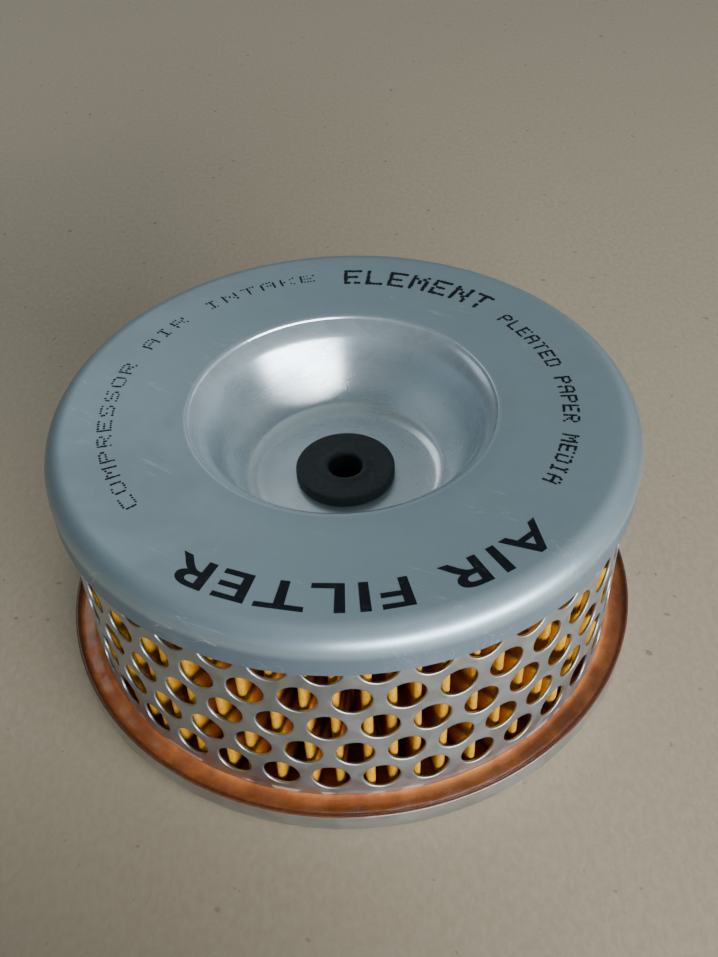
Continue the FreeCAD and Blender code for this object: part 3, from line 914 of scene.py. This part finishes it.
# %% Piece: pleated paper
PLEATS = 64
PAPER = 0.5
TIP = 66.4
JOINED_TIP = 65.0
BEND_STEPS = 3
WALL_STEPS = 6


def fold_centres(rng):
    """Angles of the outer folds, starting and ending at the joined pleat at the back."""
    steps = [rng.uniform(0.76, 1.24) for _ in range(PLEATS)]
    whole = sum(steps)
    angles = []
    turn = math.pi / 2
    for step in steps:
        angles.append(turn)
        turn += 2 * math.pi * step / whole
    return angles


def fold_point(angle, radius, aside):
    """A point near a fold, by its radius and its distance aside, in millimetres."""
    return Vector((radius * math.cos(angle) - aside * math.sin(angle),
                   radius * math.sin(angle) + aside * math.cos(angle)))


def bend(angle, middle, radius, outward, lean):
    """Seven points half round a fold, about a middle at the given radius."""
    points = []
    for step in range(-BEND_STEPS, BEND_STEPS + 1):
        turn = math.radians(90 * step / BEND_STEPS)
        across = radius * math.cos(turn)
        points.append((fold_point(angle, middle + outward * across,
                                  radius * math.sin(turn)), lean))
    return points


def wall(start, end, bow, lean):
    """Points along a fold's wall, which bows a little to one side."""
    side = Vector((-(end - start).y, (end - start).x)).normalized()
    points = []
    for step in range(1, WALL_STEPS):
        share = step / WALL_STEPS
        points.append((start.lerp(end, share) + side * bow * math.sin(math.pi * share), lean))
    return points


def pleat_line(rng, angles):
    """One closed line through all the folds, with a lean for each point."""
    line = []
    for index in range(PLEATS):
        here = angles[index]
        last = index == PLEATS - 1
        after = angles[(index + 1) % PLEATS] + (2 * math.pi if last else 0.0)
        valley = (here + after) / 2 + rng.uniform(-0.006, 0.006)
        joined = index == 0
        tip = JOINED_TIP if joined else rng.uniform(66.2, 66.75)
        root = rng.uniform(46.9, 47.3)
        outer = 0.95 if joined else rng.uniform(0.6, 0.85)
        inner = rng.uniform(0.5, 0.65)
        lean = rng.uniform(-0.35, 0.35)
        line += bend(here, tip - outer, outer, 1, lean)
        line += wall(fold_point(here, tip - outer, outer),
                     fold_point(valley, root + inner, -inner), rng.uniform(-0.35, 0.35), lean)
        line += bend(valley, root + inner, inner, -1, lean * 0.4)
        line += wall(fold_point(valley, root + inner, inner),
                     fold_point(after, (JOINED_TIP if last else TIP) - 0.85, -0.85),
                     rng.uniform(-0.35, 0.35), lean * 0.5)
    return line


def make_paper_ring():
    rng = random.Random(7)
    low, high = levels("pleated_media")
    angles = fold_centres(rng)
    line = pleat_line(rng, angles)
    phases = [rng.uniform(0, 2 * math.pi) for _ in range(5)]
    mesh = bmesh.new()
    up_steps = 14
    levels_up = []
    for up in range(up_steps + 1):
        level = low / MM - 1.2 + (high - low + 2.4 * MM) / MM * up / up_steps
        share = up / up_steps
        ring = []
        for point, lean in line:
            turn = math.atan2(point.y, point.x)
            sway = lean * math.sin(math.pi * (1.3 * share - 0.15) + phases[0])
            sway += 0.10 * math.sin(9 * turn + 5.0 * share + phases[1])
            along = Vector((-math.sin(turn), math.cos(turn)))
            place = point + along * sway
            ring.append(mesh.verts.new((place.x * MM, place.y * MM, level * MM)))
        levels_up.append(ring)
    for low_ring, high_ring in zip(levels_up, levels_up[1:]):
        bridge(mesh, low_ring, high_ring)
    piece = finish_piece("paper_ring", mesh, PAPER_FINISH, 80.0)
    thick = piece.modifiers.new("paper_thickness", "SOLIDIFY")
    thick.thickness = PAPER * MM
    thick.offset = 0.0
    stand_in_for(piece, "pleated_media")


make_paper_ring()

# %% [markdown]
# ## The seam clip
# The strip's two ends meet in one pleat, and a folded metal channel is pinched over it.
# Its outline is a U with rounded bends, drawn once and extruded upwards.

# %% Piece: seam clip
def make_clip():
    low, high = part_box("media_seam_clip")
    outer_half = high.x / MM
    crown = high.y / MM
    mouth = low.y / MM
    metal = 0.4
    bend = 1.0
    outside = [(-outer_half, mouth)]
    outside += arc((-outer_half + bend, crown - bend), bend, 180, 90, 5)
    outside += arc((outer_half - bend, crown - bend), bend, 90, 0, 5)
    outside += [(outer_half, mouth)]
    inside = [(outer_half - metal, mouth)]
    inside += arc((outer_half - bend, crown - bend), bend - metal, 0, 90, 4)
    inside += arc((-outer_half + bend, crown - bend), bend - metal, 90, 180, 4)
    inside += [(-outer_half + metal, mouth)]
    outline = outside + inside
    mesh = bmesh.new()
    rings = []
    for level in (low.z, low.z + 0.3 * MM, high.z - 0.3 * MM, high.z):
        rings.append([mesh.verts.new((x * MM, y * MM, level)) for x, y in outline])
    for here, there in zip(rings, rings[1:]):
        bridge(mesh, here, there)
    outer_count = len(outside)
    for ring in (rings[0], rings[-1]):
        left = ring[:outer_count]
        right = list(reversed(ring[outer_count:]))
        for step in range(outer_count - 1):
            low_share = step * (len(right) - 1) // (outer_count - 1)
            high_share = (step + 1) * (len(right) - 1) // (outer_count - 1)
            corners = [left[step], left[step + 1], right[high_share]]
            if high_share != low_share:
                corners.append(right[low_share])
            mesh.faces.new(corners)
    piece = finish_piece("seam_channel", mesh, CLIP_FINISH)
    stand_in_for(piece, "media_seam_clip")


make_clip()

# %% [markdown]
# ## The bottom pan
# A shallow pressed pan: the outlet's lip is turned up inside, the gasket's seat stands a
# little higher than the outer foot, and the outer lip leans in slightly. Its top edge is
# rounded where the press folded the burr over.

# %% Piece: bottom pan
PAN_R = PAN_RADIUS / MM
PAN_FOOT = levels("bottom_end_cap")[0] / MM
LIP_TOP = 6.5
LIP_R = PAN_R - 0.1
SEAT = 3.2
OUTLET = 43.5


def make_pan():
    floor = PAN_FOOT + T
    outline = [(OUTLET, 6.8), (OUTLET, 5.5)]
    outline += arc((OUTLET + 1.2, SEAT + 1.2), 1.2, 180, 270, 5)
    outline += [(50.0, SEAT), (62.4, SEAT)]
    outline += [(63.0, SEAT - 0.15), (63.3, SEAT - 0.7), (63.9, PAN_FOOT + 0.5)]
    outline += [(64.3, PAN_FOOT + 0.08), (64.8, PAN_FOOT), (70.0, PAN_FOOT)]
    outline += arc((PAN_R - 1.4, PAN_FOOT + 1.4), 1.4, 270, 360, 6)
    outline += [(PAN_R - 0.03, 4.2), (LIP_R, LIP_TOP - 0.4)]
    outline += arc((LIP_R - 0.42, LIP_TOP - 0.42), 0.42, 10, 170, 6)
    outline += [(LIP_R - 0.84, LIP_TOP - 0.6), (PAN_R - 0.03 - T, 4.2)]
    outline += arc((PAN_R - 1.5, PAN_FOOT + 1.5), 0.7, 0, -90, 4)
    outline += [(70.0, floor), (65.3, floor), (64.6, floor + 0.15), (63.9, floor + 1.6)]
    outline += [(63.5, SEAT + T - 0.1), (62.8, SEAT + T), (50.0, SEAT + T)]
    outline += arc((OUTLET + T + 0.4, SEAT + T + 0.4), 0.4, 270, 180, 3)
    outline += [(OUTLET + T, 6.8), (OUTLET + T - 0.2, 7.0), (OUTLET + 0.2, 7.0)]
    turned_piece("bottom_pan", outline, 288, PAN_FINISH, "bottom_end_cap")


make_pan()

# %% [markdown]
# ## The two rings of plastisol
# The liquid wets the metal, so it climbs a little at the tube and at the lip and sags
# between them. Its level also wanders as the pan turned under the nozzle. Both are written
# as a ripple on the turned outline.

# %% Pieces: plastisol rings
POT = levels("bottom_potting")[1] / MM
LIP_INSIDE = LIP_R - 0.84


def poured_ripple(radius, level, angle):
    """Only the free top surface wanders; the cast faces stay where the metal is."""
    free = max(0.0, min(1.0, (level - 4.9) / 0.6))
    free *= max(0.0, min(1.0, (LIP_INSIDE - radius) / 0.8))
    slow = 0.16 * math.sin(4 * angle + 1.3) + 0.12 * math.sin(11 * angle + 0.4)
    quick = 0.10 * math.sin(38 * angle) * math.sin(7 * angle) + 0.05 * math.sin(57 * angle)
    return 0.0, free * (slow + quick - 0.35)


def make_bottom_plastisol():
    tube = LINER_RADIUS / MM
    lip = LIP_INSIDE
    hem = (LIP_R - 0.42, LIP_TOP - 0.42)
    outline = [(44.5, SEAT + T + 0.02), (62.9, SEAT + T + 0.02), (65.2, PAN_FOOT + T + 0.02),
               (PAN_R - 1.7, PAN_FOOT + T + 0.02), (PAN_R - 1.0, 2.4), (lip - 0.02, 4.4)]
    outline += [(lip + 0.1, LIP_TOP - 0.6)]
    outline += arc(hem, 0.36, 165, 20, 5)
    outline += arc(hem, 0.47, 20, 165, 7)
    outline += [(lip - 0.25, POT - 0.12), (lip - 0.6, POT - 0.42), (lip - 1.1, POT - 0.58),
                (lip - 1.8, POT - 0.62), (tube + 1.1, POT - 0.45), (tube + 0.45, POT - 0.1),
                (tube + 0.05, POT + 0.28), (tube + 0.01, 3.0)]
    outline += [(tube - 0.71, 3.0), (tube - 0.75, POT + 0.2), (tube - 1.2, POT - 0.1),
                (tube - 2.2, POT - 0.4), (60.0, POT - 0.5), (52.0, POT - 0.5),
                (47.5, POT - 0.4), (46.3, POT - 0.05), (45.78, POT + 0.2), (45.72, 5.0)]
    outline += [(44.95, 5.0), (44.5, 5.3)]
    turned_piece("bottom_plastisol", outline, 360, PLASTISOL, "bottom_potting",
                 60.0, poured_ripple)


def make_top_plastisol():
    level = levels("top_potting")[0] / MM
    roof = TOP - T - 0.02
    tube = LINER_RADIUS / MM
    outline = [(43.8, roof), (43.6, level + 1.0), (44.2, level + 0.3), (44.9, level),
               (44.95, 61.9), (45.75, 61.9), (45.8, level), (47.0, level + 0.35),
               (56.0, level + 0.5), (66.0, level + 0.35), (tube - 0.75, level),
               (tube - 0.72, 60.3), (tube + 0.02, 60.3), (tube - 0.6, 61.4), (66.2, 62.7),
               (64.4, roof)]
    turned_piece("top_plastisol", outline, 256, PLASTISOL, "top_potting", 60.0)


make_bottom_plastisol()
make_top_plastisol()

# %% [markdown]
# ## The gasket
# A flat ring of black rubber is bonded under the pan, in its raised seat. It is a little
# thicker than the seat is deep, so the element stands on rubber.

# %% Piece: gasket
def make_gasket():
    low, high = levels("bottom_gasket")
    foot = low / MM
    top = high / MM
    outer = reach("bottom_gasket") / MM
    inner = 50.0
    outline = arc((inner + 0.5, foot + 0.5), 0.5, 180, 270, 3)
    outline += [(inner + 3.0, foot), (outer - 3.0, foot)]
    outline += arc((outer - 0.5, foot + 0.5), 0.5, 270, 360, 3)
    outline += [(outer, top - 0.3), (outer - 0.2, top), (inner + 0.2, top), (inner, top - 0.3)]
    turned_piece("sealing_ring", outline, 256, GASKET_RUBBER, "bottom_gasket")


make_gasket()

# %% [markdown]
# ## Printing on the cap
# Print is a film of ink, so it is flat geometry a few hundredths of a millimetre above the
# metal. The words are generic: they say what the part is. Big letters come from Blender's
# own font, bent round the ring. The coder's small marks are dots on a five by seven grid.

# %% Write the printing helpers
DOT_LETTERS = {
    "A": "01110 10001 10001 11111 10001 10001 10001",
    "C": "01111 10000 10000 10000 10000 10000 01111",
    "D": "11110 10001 10001 10001 10001 10001 11110",
    "E": "11111 10000 10000 11110 10000 10000 11111",
    "I": "01110 00100 00100 00100 00100 00100 01110",
    "L": "10000 10000 10000 10000 10000 10000 11111",
    "K": "10001 10010 10100 11000 10100 10010 10001",
    "M": "10001 11011 10101 10101 10001 10001 10001",
    "N": "10001 11001 10101 10101 10011 10001 10001",
    "O": "01110 10001 10001 10001 10001 10001 01110",
    "P": "11110 10001 10001 11110 10000 10000 10000",
    "R": "11110 10001 10001 11110 10100 10010 10001",
    "S": "01111 10000 10000 01110 00001 00001 11110",
    "T": "11111 00100 00100 00100 00100 00100 00100",
}


LINE_MIDDLE = 3.5
INK_LIFT = 0.03
LETTER_CELLS = 6.6
DOT_LOST = 0.04
DOT_SHIFT = 0.06


def on_ring(start, base, along, up):
    """Bend a flat place onto the flat ring, clockwise from the start angle."""
    middle = base + LINE_MIDDLE
    angle = math.radians(start) - along / middle
    radius = base + up
    dip = cap_ripple(radius, TOP, angle)[1]
    return (radius * MM * math.cos(angle), radius * MM * math.sin(angle),
            (TOP + dip + INK_LIFT) * MM)


def dot_words(mesh, words, start, end, base, height, rng):
    """Coder print: one small round ink dot for each lit place of the grid."""
    middle = base + LINE_MIDDLE
    length = math.radians(start - end) * middle
    advance = length / len(words)
    column = advance / LETTER_CELLS
    row = height / LETTER_CELLS
    for number, letter in enumerate(words):
        if letter == " ":
            continue
        for down, line in enumerate(DOT_LETTERS[letter].split()):
            for across, lit in enumerate(line):
                if lit == "0" or rng.random() < DOT_LOST:
                    continue
                along = number * advance + across * column + rng.uniform(-DOT_SHIFT, DOT_SHIFT)
                up = (6 - down) * row + rng.uniform(-DOT_SHIFT, DOT_SHIFT)
                size = rng.uniform(0.80, 1.10) * min(column, row) * 0.68
                corners = []
                for step in range(8):
                    turn = math.pi / 4 * step
                    corners.append(mesh.verts.new(on_ring(
                        start, base, along + size * math.cos(turn), up + size * math.sin(turn))))
                mesh.faces.new(corners)


def big_words(mesh, words, start, end, base, height):
    """Printed words from the built-in font, stretched to their arc and bent onto it."""
    curve = bpy.data.curves.new("print_draft", "FONT")
    curve.body = words
    curve.size = 1.0
    curve.offset = 0.018
    curve.space_character = 1.12
    curve.resolution_u = 6
    draft = add_object("print_draft", curve)
    bpy.context.view_layer.update()
    flat = bpy.data.meshes.new_from_object(draft.evaluated_get(
        bpy.context.evaluated_depsgraph_get()))
    width = max(point.co.x for point in flat.vertices)
    tall = max(point.co.y for point in flat.vertices)
    length = math.radians(start - end) * (base + LINE_MIDDLE)
    placed = []
    for point in flat.vertices:
        placed.append(mesh.verts.new(on_ring(
            start, base, point.co.x / width * length, point.co.y / tall * height)))
    for face in flat.polygons:
        mesh.faces.new([placed[index] for index in face.vertices])
    bpy.data.objects.remove(draft)
    bpy.data.curves.remove(curve)
    bpy.data.meshes.remove(flat)


# %% Piece: printing
def make_print(name, fill):
    mesh = bmesh.new()
    fill(mesh)
    piece = finish_piece(name, mesh, INK)
    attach(piece, "root")
    return piece


CODER = random.Random(21)
make_print("print_name", lambda mesh: big_words(mesh, "AIR FILTER", -47, -127, 56.0, 7.4))
make_print("print_coder_large",
           lambda mesh: dot_words(mesh, "ELEMENT", 87, 42, 52.0, 6.4, CODER))
make_print("print_coder_right",
           lambda mesh: dot_words(mesh, "PLEATED PAPER MEDIA", 37, -36, 51.6, 3.6, CODER))
make_print("print_coder_left",
           lambda mesh: dot_words(mesh, "COMPRESSOR AIR INTAKE", -146, -266, 54.0, 3.2, CODER))

# %% [markdown]
# ## The floor
# A pale board is enough to stand on. It is matt, warm grey, and has the fine fleck of
# pressed fibre, so that the soft shadow has something to fall on. One broad patch at the
# front on the left is painted darker: a painted shadow.

# %% Stage: floor
def make_board():
    finish = Finish("pale_board", 0.05 * MM)
    tree = finish.tree
    fleck = noise(tree, stretch(tree, finish.place, (1.0, 0.6, 1.0)), 620.0, 5.0, 0.7)
    cloud = noise(tree, finish.place, 9.0, 3.0, 0.5)
    specks = spread(tree, noise(tree, finish.place, 260.0, 2.0), 0.70, 0.74)
    base = blend_colours(tree, cloud, (0.44, 0.345, 0.235), (0.51, 0.405, 0.28))
    flecked = blend_colours(tree, spread(tree, fleck, 0.3, 0.75), base, (0.56, 0.455, 0.335))
    aside = add_node(tree, "ShaderNodeVectorMath", operation="DISTANCE")
    feed(tree, aside.inputs[0], finish.place)
    aside.inputs[1].default_value = (-0.10, -0.18, 0.0)
    # painted shadow: a broad patch at the front on the left is darkened
    painted_shadow = spread(tree, aside.outputs["Value"], 0.06, 0.19, 0.85, 0.0)
    stained_and_shaded = blend_colours(tree, painted_shadow, flecked, (0.15, 0.115, 0.075))
    colour = tint(tree, specks, 0.5, stained_and_shaded, (0.16, 0.12, 0.08))
    finish.relief(fleck)
    finish.wire(Base_Color=colour, Roughness=spread(tree, fleck, 0.3, 0.7, 0.62, 0.78))
    mesh = bmesh.new()
    bmesh.ops.create_grid(mesh, x_segments=4, y_segments=4, size=2.5)
    floor = finish_piece("floor", mesh, finish.material)


make_board()

# %% Update the scene
bpy.context.view_layer.update()
